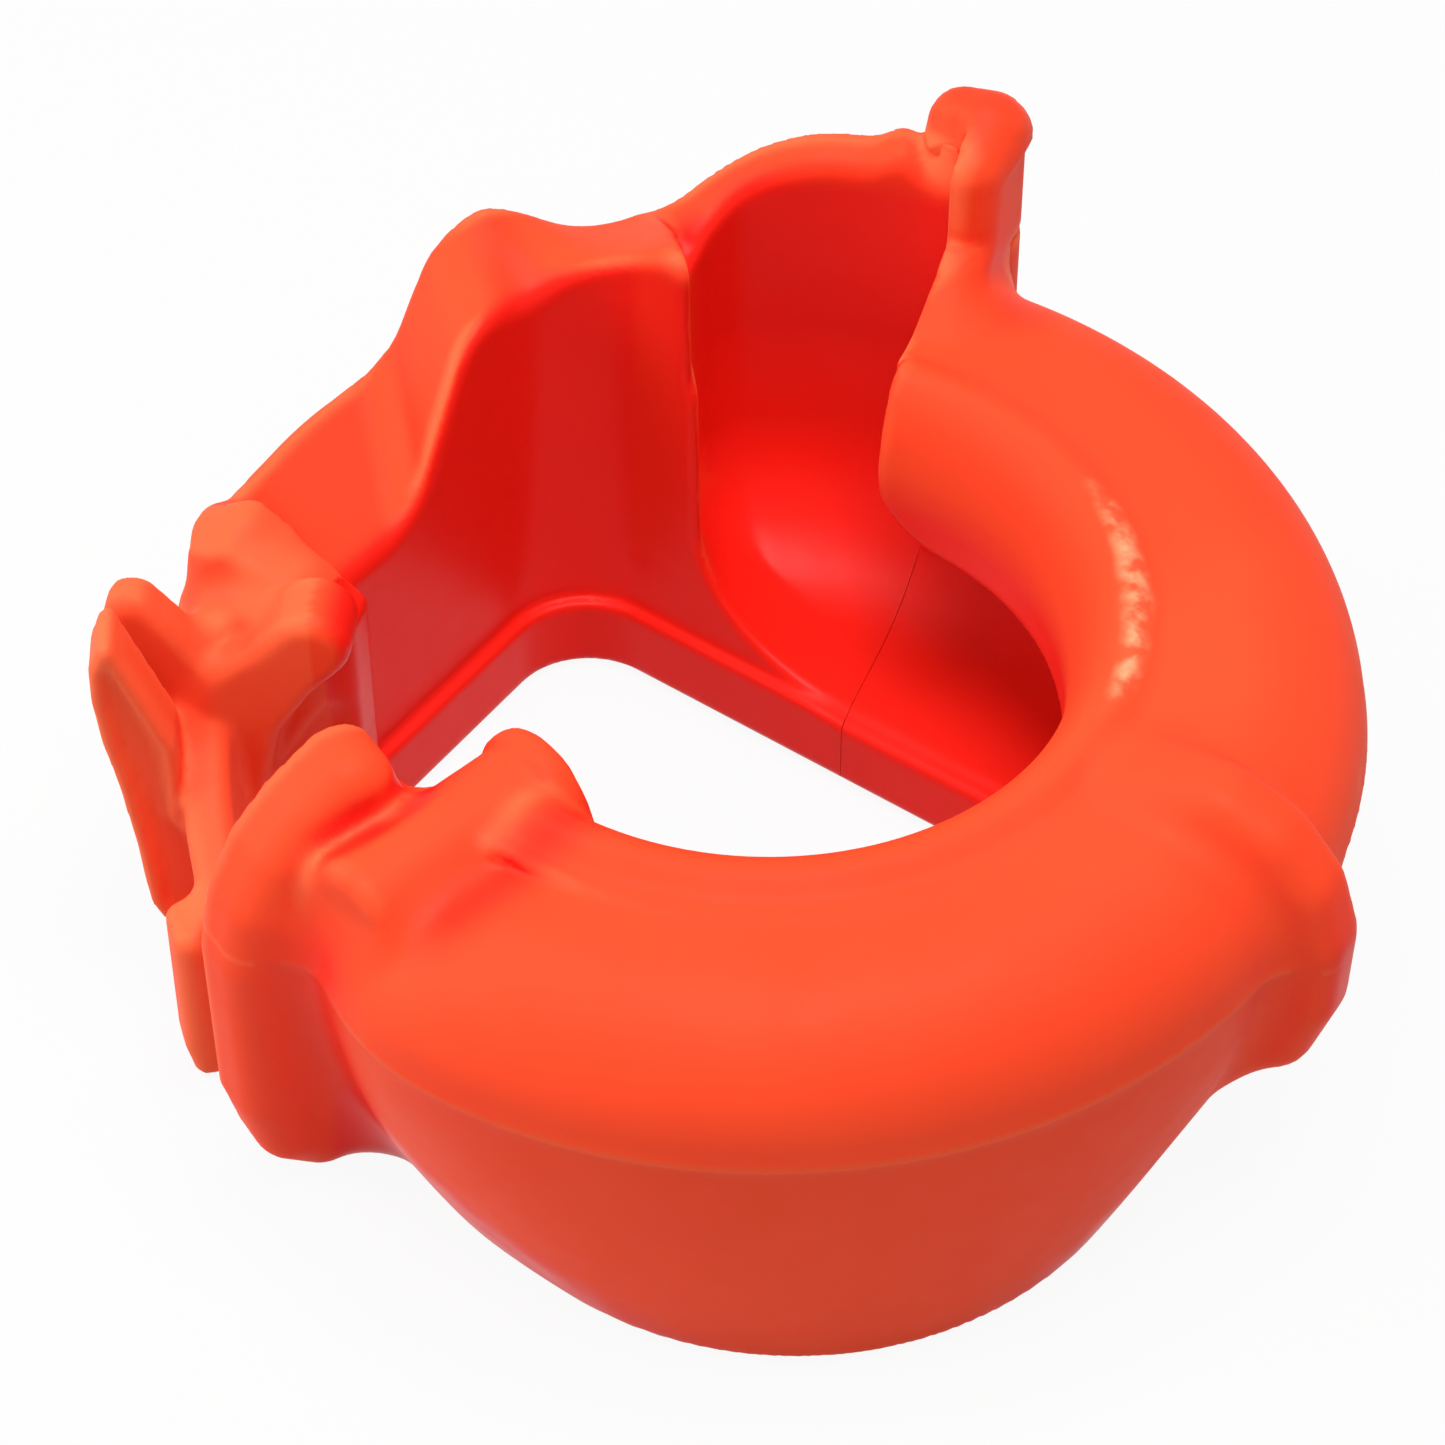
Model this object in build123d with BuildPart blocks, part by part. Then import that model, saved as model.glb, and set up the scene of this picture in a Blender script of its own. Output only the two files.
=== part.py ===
from build123d import *
import os
from math import cos, degrees, radians, sin

# Split, hinged ring coupling for a 54 mm grooved tube. Millimetres, +Z along the tube's axis.
# The origin is on that axis, half way up the straight bore of the tube collar.
# Heights are above the origin, radii are from the axis, and angles are in degrees about it,
# counter-clockwise from +X, seen from above. The front half runs from the split, at the lower
# left, past the right-hand fin to the hinge at the back. The rear half goes on from there.

# ---- collar that grips the tube ----
tube_diameter = 54.0
bore_length = 6.0           # straight part of the bore
flare_width = 5.3           # the flare above it, outward and up to the crest
flare_height = 11.9
crest_width = 1.1           # from the crest out to the crease against the flange
collar_wall = 3.5
collar_start_angle = 266.0

# ---- shells ----
wall = 4.5
girth_radius = 54.0         # outside, at the seam between the upper and lower shells
seam_height = 1.6
flange_height = 13.6        # top of the front's flange
base_height = -31.4         # underside
base_half_width = 45.0      # the base outline is a rounded square
base_corner_radius = 33.0
back_wall_height = 23.5     # rim of the open back bay
back_fall_start = 119.0     # that rim falls away towards the left bay
back_fall_end = 141.0
back_fall_height = 16.3     # its height where it has fallen
left_rim_height = 19.5      # wide rim of the left bay
dip_angle = 143.0           # hollow in that rim, which runs out towards the axis
dip_depth = 4.7
dip_radius = 10.0
dip_slope = 20.0
rim_radius = 38.5           # inner edge of the wide rim
saddle_direction = -35.0    # the way the saddle in that rim runs, in plan
saddle_near = -14.0         # its two banks, as distances from the axis across that direction
saddle_far = -41.5
saddle_floor_near = -25.0
saddle_floor_far = -31.5
saddle_floor = -2.3
saddle_far_height = 8.0     # the rim past it, up to the closing plate
saddle_round = 5.0

# ---- lower key: the floor of the channel, with the square way through ----
key_thickness = 8.5
way_near = -38.0            # side of the square on the split's side, in X and in Y
way_far = 20.0              # and on the side away from it
way_corner = 8.0

# ---- hinge at the back ----
hinge_angle = 104.0
hinge_radius = 55.5
barrel_radius = 4.2
pin_radius = 1.6
pin_clearance = 0.05
hinge_gap = 0.3             # between knuckles, and between the halves on the hinge plane
hinge_bottom = -19.0
hinge_top = 28.5
knuckle_height = 13.0       # level between the middle and the top knuckle
pin_cover = 2.0             # left closed above the pin

# ---- fins, plates and the split end ----
fin_angle = 4.0
fin_thickness = 8.0
fin_radius = 58.8
fin_top = 16.0
fin_bottom = -17.0
front_end_angle = 248.0     # middle plane of the front half's closing plate
front_plate_radius = 56.0
rear_end_angle = 202.0      # middle plane of the rear half's closing plate
rear_plate_radius = 56.0
rear_plate_top = 9.5
plate_thickness = 7.5
plate_edge = 2.6
foot_angle = 232.0          # middle plane of the low foot that ends the rear half's skirt
foot_outer = 56.3
foot_top = -12.5
foot_thickness = 6.0
lug_angle = 217.5           # middle plane of the leaf-shaped lug
lug_radius = 60.2
lug_top = 14.0
lug_thickness = 6.0
ear_angle = 211.0           # middle plane of the horn-shaped ear beside it
ear_radius = 60.3
ear_top = 11.3
ear_thickness = 4.5
tongue_end_angle = 213.0    # end of the arched tongue on the rear closing plate
tongue_radius = 54.0        # outside of the arch, where it stands upright
tongue_round = 30.0         # radius of the arch
tongue_springing = -13.4    # height of the centre of the arch
tongue_sweep = 55.0         # how far the arch turns from upright towards level
tongue_bottom = -19.0
tongue_wall = 7.0

# ---- half-round bar on the front flange, and the thick wall of the left bay ----
bar_angle = 259.0
bar_radius = 4.8
bar_outer_radius = 46.5
bar_drop = 9.0
bar_clearance = 0.2         # kept clear of the tube
core_angle = 136.0          # where the thick wall of the left bay starts
foot_radius = 12.0          # fillet between that wall's end and the floor of the channel

reach = 100.0               # beyond every part of the ring, for the cutting tools

# ---- worked out from them ----
bore_radius = tube_diameter / 2
crest_radius = bore_radius + flare_width
crest_height = bore_length / 2 + flare_height
collar_radius = crest_radius + crest_width
shoulder_radius = flange_height - seam_height
shoulder_centre = girth_radius - shoulder_radius
inner_radius = girth_radius - wall
key_top = base_height + key_thickness
seam_turn = degrees(hinge_gap / 2 / girth_radius)
front_stop_angle = 360 + hinge_angle - seam_turn
rear_start_angle = hinge_angle + seam_turn
hinge_centre = (hinge_radius * cos(radians(hinge_angle)), hinge_radius * sin(radians(hinge_angle)))

os.makedirs("parts", exist_ok=True)


def finish(piece, name):
    """Label a finished piece and write it."""
    piece.label = name
    export_step(piece, f"parts/{name}.step")


def polar(radius, angle):
    """Point in plan."""
    return (radius * cos(radians(angle)), radius * sin(radians(angle)))


def radial_plane(angle):
    """Upright plane through the axis: local x runs outward, local y runs up."""
    across = (sin(radians(angle)), -cos(radians(angle)), 0)
    return Plane(origin=(0, 0, 0), x_dir=(cos(radians(angle)), sin(radians(angle)), 0), z_dir=across)


def sector(start, end):
    """Tall wedge about the axis, from one angle round to another."""
    steps = 8
    rim = [polar(reach, start + (end - start) * step / steps) for step in range(steps + 1)]
    with BuildPart() as wedge:
        with BuildSketch(Plane.XY.offset(-reach)):
            with BuildLine():
                Polyline((0, 0), *rim, close=True)
            make_face()
        extrude(amount=2 * reach)
    return wedge.part


def slab(bottom, top):
    """Level slab across the whole ring."""
    with BuildPart() as level:
        with BuildSketch(Plane.XY.offset(bottom)):
            Rectangle(2 * reach, 2 * reach)
        extrude(amount=top - bottom)
    return level.part


def turned(section, start=0.0, end=360.0):
    """A section in the radial plane, turned about the axis from one angle to another."""
    with BuildPart() as ring:
        with BuildSketch(radial_plane(start)):
            with BuildLine():
                Polyline(*section, close=True)
            make_face()
        revolve(axis=Axis.Z, revolution_arc=end - start)
    return ring.part


def fin(angle, outline, thickness, corner, edge):
    """Upright radial plate with rounded corners and rounded edges."""
    with BuildPart() as plate:
        with BuildSketch(radial_plane(angle)) as face:
            with BuildLine():
                Polyline(*outline, close=True)
            make_face()
            fillet(face.vertices(), corner)
        extrude(amount=thickness / 2, both=True)
        sides = plate.faces().sort_by(Axis((0, 0, 0), radial_plane(angle).z_dir))
        fillet(sides[0].edges() + sides[-1].edges(), edge)
    return plate.part


def skirt(inset):
    """Solid of the lower shell, from the round seam down to the rounded-square base."""
    seam_corner = girth_radius - 0.5
    with BuildPart() as body:
        for share in (0, 0.25, 0.6, 1):
            half = girth_radius - (girth_radius - base_half_width) * share**1.5 - inset
            corner = seam_corner - (seam_corner - base_corner_radius) * share**1.5 - inset
            with BuildSketch(Plane.XY.offset(seam_height + (base_height - seam_height) * share)):
                RectangleRounded(2 * half, 2 * half, corner)
        loft()
    return body.part


def shoulder(inset, inner=0.0):
    """Solid of the upper front shell: flat flange, then a quarter round down to the seam."""
    top = flange_height - inset
    with BuildPart() as plug:
        with BuildSketch(radial_plane(front_end_angle)):
            with BuildLine():
                Line((inner, seam_height), (girth_radius - inset, seam_height))
                CenterArc((shoulder_centre, seam_height), shoulder_radius - inset, 0, 90)
                Line((shoulder_centre, top), (inner, top))
                Line((inner, top), (inner, seam_height))
            make_face()
        revolve(axis=Axis.Z)
    return plug.part


def hinge_round(radius, bottom, top):
    """Cylinder about the hinge axis."""
    with BuildPart() as barrel:
        with BuildSketch(Plane.XY.offset(bottom)):
            with Locations(hinge_centre):
                Circle(radius)
        extrude(amount=top - bottom)
    return barrel.part


def hinge_leaf(side):
    """Half of the hinge fin, on the front's side (+1) or the rear's side (-1) of its plane."""
    outline = [
        (rim_radius, flange_height - 2),
        (hinge_radius - 10, hinge_top),
        (hinge_radius, hinge_top),
        (hinge_radius, hinge_bottom),
        (rim_radius + 6, hinge_bottom),
    ]
    with BuildPart() as leaf:
        with BuildSketch(radial_plane(hinge_angle).offset(side * hinge_gap / 2)):
            with BuildLine():
                Polyline(*outline, close=True)
            make_face()
        extrude(amount=side * (barrel_radius - hinge_gap / 2))
    return leaf.part


def closing_plate(angle, outer, top, inner_top):
    """Full-height plate that ends a half at the split."""
    outline = [
        (rim_radius, base_height),
        (rim_radius, inner_top),
        (rim_radius + 5, top),
        (outer - 7, top),
        (outer, top - 12),
        (outer, base_height + 9),
        (outer - 4, base_height),
    ]
    return fin(angle, outline, plate_thickness, 2.5, plate_edge)


# ---- tools and plates that several pieces share ----
wall_core = turned([(0, seam_height), (inner_radius, seam_height), (inner_radius, reach), (0, reach)])
above_seam = slab(seam_height, reach)
below_seam = slab(base_height, seam_height)
front_sector = sector(front_end_angle, front_stop_angle)
rear_sector = sector(rear_start_angle, foot_angle)
outer_skirt = skirt(0)
inner_skirt = skirt(wall)
right_fin = fin(
    fin_angle,
    [(rim_radius, 8), (43, fin_top), (fin_radius, fin_top - 3), (fin_radius, fin_bottom + 5), (44, fin_bottom)],
    fin_thickness,
    4.5,
    3,
)
front_plate = closing_plate(front_end_angle, front_plate_radius, flange_height + 3, flange_height - 2)
rear_plate = closing_plate(rear_end_angle, rear_plate_radius, rear_plate_top, rear_plate_top - 5)
foot = fin(
    foot_angle,
    [
        (foot_outer - 10, base_height),
        (foot_outer - 9.5, foot_top - 10),
        (foot_outer - 4.5, foot_top - 1.5),
        (foot_outer, foot_top),
        (foot_outer, base_height + 6),
        (foot_outer - 1, base_height),
    ],
    foot_thickness,
    2.0,
    1.8,
)
lug = fin(
    lug_angle,
    [
        (lug_radius - 10, lug_top - 34),
        (lug_radius - 3.5, lug_top - 38),
        (lug_radius - 2.5, lug_top - 24),
        (lug_radius, lug_top - 6),
        (lug_radius - 1.2, lug_top),
        (lug_radius - 5, lug_top - 5),
        (lug_radius - 9, lug_top - 14),
    ],
    lug_thickness,
    1.4,
    1.2,
)
ear = fin(
    ear_angle,
    [
        (ear_radius - 10, ear_top - 22),
        (ear_radius - 3, ear_top - 16),
        (ear_radius, ear_top - 4.5),
        (ear_radius - 2.5, ear_top),
        (ear_radius - 10, ear_top - 6),
    ],
    ear_thickness,
    1.8,
    1.6,
)

# ---- front half, upper shell: flange, shoulder, top of the fin, closing plate, top knuckle ----
with BuildPart() as front_upper_shell:
    add(shoulder(0, collar_radius))
    add(front_sector, mode=Mode.INTERSECT)
    add(right_fin & above_seam)
    add(hinge_leaf(1) & above_seam)
    add(hinge_round(barrel_radius, knuckle_height + hinge_gap / 2, hinge_top))
    add(shoulder(wall), mode=Mode.SUBTRACT)
    add(front_plate & above_seam)
    add(hinge_round(barrel_radius + hinge_gap, seam_height, knuckle_height + hinge_gap / 2), mode=Mode.SUBTRACT)
    add(hinge_round(pin_radius, seam_height, hinge_top - pin_cover), mode=Mode.SUBTRACT)
finish(front_upper_shell.part, "front_upper_shell")

# ---- front half, lower shell: tapering skirt, foot of the fin, closing plate, bottom knuckle ----
with BuildPart() as front_lower_shell:
    add(outer_skirt)
    add(front_sector, mode=Mode.INTERSECT)
    add(right_fin & below_seam)
    add(hinge_leaf(1) & below_seam)
    add(hinge_round(barrel_radius, hinge_bottom, seam_height))
    add(inner_skirt, mode=Mode.SUBTRACT)
    add(front_plate & below_seam)
    add(hinge_round(pin_radius, hinge_bottom, seam_height), mode=Mode.SUBTRACT)
finish(front_lower_shell.part, "front_lower_shell")

def back_wall():
    """Upright wall of the back bay, with a rounded rim that falls away towards the left bay."""
    section = [
        (inner_radius, seam_height),
        (girth_radius, seam_height),
        (girth_radius, back_wall_height - 4),
        (girth_radius - 1.5, back_wall_height - 1),
        (girth_radius - 2.8, back_wall_height),
        (inner_radius, back_wall_height - 1),
    ]
    first = Vector(*polar(girth_radius, back_fall_start))
    last = Vector(*polar(girth_radius, back_fall_end))
    run = (last - first).length
    fall = (back_wall_height - back_fall_height) / run
    with BuildPart() as above:
        with BuildSketch(Plane(origin=first, x_dir=last - first, z_dir=(last - first).cross(Vector(0, 0, 1)))):
            with BuildLine():
                Polyline(
                    (-run, back_wall_height + fall * run),
                    (2 * run, back_wall_height - 2 * fall * run),
                    (2 * run, reach),
                    (-run, reach),
                    close=True,
                )
            make_face()
        extrude(amount=reach, both=True)
    return turned(section, rear_start_angle, back_fall_end) - above.part


def dip(inset):
    """Tool for the hollow in the left bay's rim: a tilted cylinder, grown by the inset."""
    slope = radians(dip_slope)
    middle = left_rim_height - dip_depth + dip_radius
    outward = (cos(radians(dip_angle)) * cos(slope), sin(radians(dip_angle)) * cos(slope), -sin(slope))
    with BuildPart() as trough:
        with BuildSketch(Plane(origin=(*polar(girth_radius, dip_angle), middle), z_dir=outward)):
            Circle(dip_radius + inset)
        extrude(amount=girth_radius - rim_radius, both=True)
    return trough.part


def saddle(inset):
    """Tool for the saddle: a valley that runs across the left bay, grown by the inset."""
    along = (cos(radians(saddle_direction)), sin(radians(saddle_direction)), 0)
    with BuildPart() as valley:
        with BuildSketch(Plane(origin=(0, 0, 0), x_dir=(-along[1], along[0], 0), z_dir=along)) as outline:
            with BuildLine():
                Polyline(
                    (saddle_near + 2, reach),
                    (saddle_near, left_rim_height - 1),
                    (saddle_floor_near, saddle_floor),
                    (saddle_floor_far, saddle_floor),
                    (saddle_far, saddle_far_height),
                    (-reach, saddle_far_height),
                    (-reach, reach),
                    close=True,
                )
            make_face()
            fillet(outline.vertices().sort_by(Axis.Z)[:4], saddle_round)
            offset(amount=inset)
        extrude(amount=-reach)
    return valley.part


def left_mass(inset):
    """Solid of the left bay, from the floor of the channel up to its wide rim and its saddle."""
    rim = left_rim_height - inset
    outer = girth_radius - inset
    section = [
        (0, key_top),
        (outer, key_top),
        (outer, rim - 4),
        (outer - 1.5, rim - 0.5),
        (outer - 4, rim),
        (rim_radius, rim - 2),
        (0, rim - 2),
    ]
    return turned(section, core_angle, rear_end_angle) - saddle(inset) - dip(inset)


left_saddle = saddle(0) & sector(core_angle, rear_end_angle)
left_skin = left_mass(0) - left_mass(wall)
rim_core = turned([(0, -reach), (rim_radius, -reach), (rim_radius, reach), (0, reach)])

# ---- rear half, upper shell: open back bay, left bay with its wide rim, middle knuckle ----
with BuildPart() as rear_upper_shell:
    add(back_wall() - dip(0))
    add((left_skin & above_seam) + (left_skin & inner_skirt))
    add(rim_core + rear_plate, mode=Mode.SUBTRACT)
    add((hinge_leaf(-1) - wall_core) & slab(seam_height, back_wall_height - 1))
    add(rear_plate & above_seam)
    add(hinge_round(barrel_radius, seam_height + hinge_gap, knuckle_height - hinge_gap / 2))
    add(hinge_round(barrel_radius + hinge_gap, knuckle_height - hinge_gap / 2, reach), mode=Mode.SUBTRACT)
    add(hinge_round(barrel_radius + hinge_gap, seam_height, seam_height + hinge_gap), mode=Mode.SUBTRACT)
    add(hinge_round(pin_radius + pin_clearance, seam_height, knuckle_height), mode=Mode.SUBTRACT)
finish(rear_upper_shell.part, "rear_upper_shell")

# ---- closing tongue: arched band against the rear closing plate, with the ear on its end ----
tongue_centre = (tongue_radius - tongue_round, tongue_springing)
tongue_inner = tongue_radius - tongue_wall
with BuildPart() as closing_tongue:
    with BuildSketch(radial_plane(rear_end_angle + 2)):
        with BuildLine():
            outer_arc = CenterArc(tongue_centre, tongue_round, 0, tongue_sweep)
            inner_arc = CenterArc(tongue_centre, tongue_round - tongue_wall, 0, tongue_sweep)
            Line(outer_arc @ 1, inner_arc @ 1)
            Line(inner_arc @ 0, (tongue_inner, tongue_bottom))
            Line((tongue_inner, tongue_bottom), (tongue_radius, tongue_bottom))
            Line((tongue_radius, tongue_bottom), outer_arc @ 0)
        make_face()
    revolve(axis=Axis.Z, revolution_arc=tongue_end_angle - rear_end_angle - 2)
    add(ear)
    add(rear_plate, mode=Mode.SUBTRACT)
finish(closing_tongue.part, "closing_tongue")

# ---- rear half, lower shell: skirt on round past the closing plate to the foot ----
with BuildPart() as rear_lower_shell:
    add(outer_skirt)
    add(rear_sector, mode=Mode.INTERSECT)
    add(hinge_leaf(-1) & below_seam)
    add(inner_skirt + left_saddle, mode=Mode.SUBTRACT)
    add(rear_plate & below_seam)
    add(closing_tongue.part + lug + foot, mode=Mode.SUBTRACT)
    add(hinge_round(barrel_radius + hinge_gap, base_height, seam_height), mode=Mode.SUBTRACT)
finish(rear_lower_shell.part, "rear_lower_shell")


# ---- lower keys: the floor of the channel, around the square way through ----
def way_tool():
    """Tool for the square way."""
    middle = (way_near + way_far) / 2
    width = way_far - way_near
    with BuildPart() as block:
        with BuildSketch(Plane.XY.offset(base_height)):
            with Locations((middle, middle)):
                RectangleRounded(width, width, way_corner)
        extrude(amount=reach)
    return block.part


def lower_key(half, end_plate):
    """One half of the floor, fitted inside the skirt and up to the closing plate."""
    with BuildPart() as key:
        add(inner_skirt & slab(base_height, key_top))
        add(half, mode=Mode.INTERSECT)
        add(end_plate + square_way, mode=Mode.SUBTRACT)
    return key.part


square_way = way_tool()
finish(lower_key(front_sector, front_plate), "front_lower_key")
finish(lower_key(sector(rear_start_angle, rear_end_angle), rear_plate), "rear_lower_key")

# ---- tube collar: straight bore, flared up to a crest that laps the flange ----
with BuildPart() as tube_collar:
    with BuildSketch(radial_plane(collar_start_angle)):
        with BuildLine():
            Line((bore_radius, -bore_length / 2), (bore_radius, bore_length / 2))
            EllipticalCenterArc((crest_radius, bore_length / 2), flare_width, flare_height, 90, arc_size=90)
            Line((crest_radius, crest_height), (collar_radius, flange_height))
            Line((collar_radius, flange_height), (collar_radius, flange_height - wall))
            Line((collar_radius, flange_height - wall), (bore_radius + collar_wall, bore_length / 2))
            Line((bore_radius + collar_wall, bore_length / 2), (bore_radius + collar_wall, -bore_length / 2))
            Line((bore_radius + collar_wall, -bore_length / 2), (bore_radius, -bore_length / 2))
        make_face()
    revolve(axis=Axis.Z, revolution_arc=front_stop_angle - collar_start_angle)
finish(tube_collar.part, "tube_collar")

# ---- half-round bar across the front flange, between the closing plate and the collar ----
bar_start = bore_radius + bar_clearance
bar_plane = Plane(
    origin=(*polar(bar_start, bar_angle), flange_height),
    x_dir=(-sin(radians(bar_angle)), cos(radians(bar_angle)), 0),
    z_dir=(cos(radians(bar_angle)), sin(radians(bar_angle)), 0),
)
with BuildPart() as latch_bar:
    with BuildSketch(bar_plane):
        with BuildLine():
            CenterArc((0, 0), bar_radius, 0, 180)
            Polyline((-bar_radius, 0), (-bar_radius, -bar_drop), (bar_radius, -bar_drop), (bar_radius, 0))
        make_face()
    extrude(amount=bar_outer_radius - bar_start)
    add(shoulder(0, collar_radius), mode=Mode.SUBTRACT)
    add(front_plate, mode=Mode.SUBTRACT)
    add(sector(collar_start_angle, collar_start_angle + 40), mode=Mode.SUBTRACT)
finish(latch_bar.part, "latch_bar")



# ---- left core: fills the left bay behind its skin, which makes its wall thick ----
def core_foot():
    """Fillet between the end of the thick wall and the floor of the channel."""
    outward = Vector(*polar(1, core_angle))
    with BuildPart() as foot:
        with BuildSketch(Plane(origin=outward * girth_radius, x_dir=radial_plane(core_angle).z_dir, z_dir=-outward)):
            with BuildLine():
                Line((0, key_top), (foot_radius, key_top))
                CenterArc((foot_radius, key_top + foot_radius), foot_radius, 180, 90)
                Line((0, key_top + foot_radius), (0, key_top))
            make_face()
        extrude(amount=girth_radius - bore_radius)
    return foot.part


core_section = [(rim_radius, key_top), (reach, key_top), (reach, reach), (rim_radius, reach)]
with BuildPart() as left_core:
    add(turned(core_section, core_angle, rear_end_angle))
    add(left_mass(wall), mode=Mode.INTERSECT)
    add(core_foot())
    add(inner_skirt + wall_core, mode=Mode.INTERSECT)
    add(rear_plate + rear_upper_shell.part + square_way, mode=Mode.SUBTRACT)
finish(left_core.part, "left_core")

# ---- leaf-shaped lug of the rear half, and the foot at the split ----
finish(lug, "closing_lug")
finish(foot, "closing_foot")

# ---- hinge pin, pressed into the front half's knuckles ----
finish(hinge_round(pin_radius, hinge_bottom, hinge_top - pin_cover), "hinge_pin")
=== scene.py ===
"""Looks of a split, hinged ring coupling, moulded in orange rubber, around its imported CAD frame.

Each half is worked out as one smooth form: a distance field on a grid, in millimetres, in which the
shell, collar, plates, fins and their fillets are joined. The form is meshed, and then cut into the
coupling's pieces along its parting lines. Angles are in degrees about the axis, from +X. Outlines of
radial plates are (radius, height) points.
"""

from math import cos, radians, sin

import bpy
import numpy as np
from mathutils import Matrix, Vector


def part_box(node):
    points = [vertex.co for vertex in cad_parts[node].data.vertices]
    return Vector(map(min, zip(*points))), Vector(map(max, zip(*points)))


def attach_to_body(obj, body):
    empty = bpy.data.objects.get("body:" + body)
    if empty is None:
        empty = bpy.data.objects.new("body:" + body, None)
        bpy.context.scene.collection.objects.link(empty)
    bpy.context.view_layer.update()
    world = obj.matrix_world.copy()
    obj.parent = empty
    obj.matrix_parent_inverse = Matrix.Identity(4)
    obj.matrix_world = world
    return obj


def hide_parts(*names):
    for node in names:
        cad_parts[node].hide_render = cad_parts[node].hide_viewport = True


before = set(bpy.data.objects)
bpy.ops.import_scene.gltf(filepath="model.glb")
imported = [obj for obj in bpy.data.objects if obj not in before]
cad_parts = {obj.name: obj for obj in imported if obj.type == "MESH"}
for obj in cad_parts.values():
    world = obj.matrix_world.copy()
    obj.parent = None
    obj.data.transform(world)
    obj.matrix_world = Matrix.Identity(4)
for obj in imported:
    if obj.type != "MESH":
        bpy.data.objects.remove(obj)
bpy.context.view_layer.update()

MM = 0.001


def corner(node, which):
    """Lowest (0) or highest (1) corner of a CAD node, in millimetres."""
    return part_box(node)[which] / MM


# ---- sizes from the frame, in millimetres ----
BASE = corner("front_lower_shell", 0).z
SEAM = corner("front_lower_shell", 1).z
KEY_TOP = corner("front_lower_key", 1).z
BORE_BOTTOM = corner("tube_collar", 0).z
CREST = corner("tube_collar", 1).z
COLLAR = corner("tube_collar", 1).x
HINGE_TOP = corner("front_upper_shell", 1).z
HINGE_BOTTOM = corner("hinge_pin", 0).z
FLANGE = CREST - 1.3

# ---- ring and base ----
GIRTH = 54.0
WALL = 4.5
SHOULDER = FLANGE - SEAM
BASE_HALF = 45.0
BASE_CORNER = 33.0
BASE_ROUND = 1.2
SKIRT_POWER = 1.5
RIM = 38.5
FLOOR_FILLET = 13.0
RIDGE = 0.28
RIDGE_WIDTH = 0.55

# ---- collar ----
BORE = 27.0
BORE_TOP = 3.0
COLLAR_WALL = 3.5
COLLAR_START = 266.0
FLARE = 5.3
CREST_FALL = 3.4
COLLAR_ROOM = -12.0

# ---- square way through the floor ----
WAY_MIDDLE = -9.0
WAY_HALF = 29.0
WAY_CORNER = 8.0
WAY_LEDGE = 1.3
WAY_ROUND = 1.2
WAY_LEAN_X = 0.02
WAY_LEAN_Y = 0.06

# ---- hinge ----
HINGE_ANGLE = 104.0
HINGE_RADIUS = 55.5
BARREL = 4.2
KNUCKLE = 13.0
GAP = 0.3
SLIT = 0.06
SPARE = 1.0
SPLIT_REACH = 50.4

# ---- front half: closing plate, bar and fin ----
FRONT_END = 248.0
VALLEY = 4.2
VALLEY_START = 1.5
VALLEY_WIDTH = 12.0
FIN_ANGLE = 4.0
BAR_ANGLE = 259.0
BAR_HEIGHT = 9.8
BAR_RADIUS = 5.2
BAR_REACH = (26.6, 49.0)
LIP_RADIUS = 5.9
LIP_REACH = (26.0, 29.4)
BAR_FLOOR = 1.2

# ---- rear half: open bay, thick wall and closing lobes ----
BACK_RIM = 23.6
BOSS_ANGLE = 111.2
BOSS_HEIGHT = 1.7
CORE_ANGLE = 136.0
LEFT_RIM = 20.0
CROWN_ANGLE = 156.0
DIP_ANGLE = 142.0
DIP_RADIUS = 11.0
DIP_DEPTH = 5.8
DIP_SLOPE = 24.0
CORNER_LIFT = 5.5
CORNER_PLACE = (-27.3, 26.3)
SADDLE_DIRECTION = -35.0
SADDLE_FLOOR = -4.4
SADDLE_FAR_RIM = 8.0
REAR_END = 202.0
REAR_PLATE = 200.5
ARCH_ANGLE = 209.2
ARCH_RADIUS = 3.8
ARCH_HALF = 3.6
EAR_ANGLE = 211.0
LUG_ANGLE = 217.5
LUG_HALF = 3.0
FOOT_ANGLE = 232.0
FOOT_HALF = 3.2

# ---- hinge cap, over the rear half ----
CAP_BOTTOM = BACK_RIM + 0.7
CAP_THICKNESS = 2 * BARREL + 1.4

# ---- grid ----
STEP = 0.6
EMPTY = 50.0
BASE_TRIM = 0.8
REACH_LOW = (-61.0, -61.0, BASE - 2)
REACH_HIGH = (61.0, 61.0, HINGE_TOP + 2)


# ---- distance fields ----
def both(parts, radius=0.0):
    """What lies inside every part, with the edges rounded."""
    deepest = parts[0]
    for part in parts[1:]:
        deepest = np.maximum(deepest, part)
    if not radius:
        return deepest
    over = sum(np.maximum(part + radius, 0) ** 2 for part in parts)
    return np.minimum(deepest, -radius) + np.sqrt(over)


def either(first, second, radius=0.0):
    """What lies inside either part, with a fillet between them."""
    return -both([-first, -second], radius)


def ramp(value, start, width):
    """0 up to a start, and then a straight rise to 1 over a width."""
    return np.clip((value - start) / width, 0, 1)


def swell(value, middle, width):
    """Bell curve of height 1."""
    return np.exp(-((value - middle) / width) ** 2)


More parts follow.
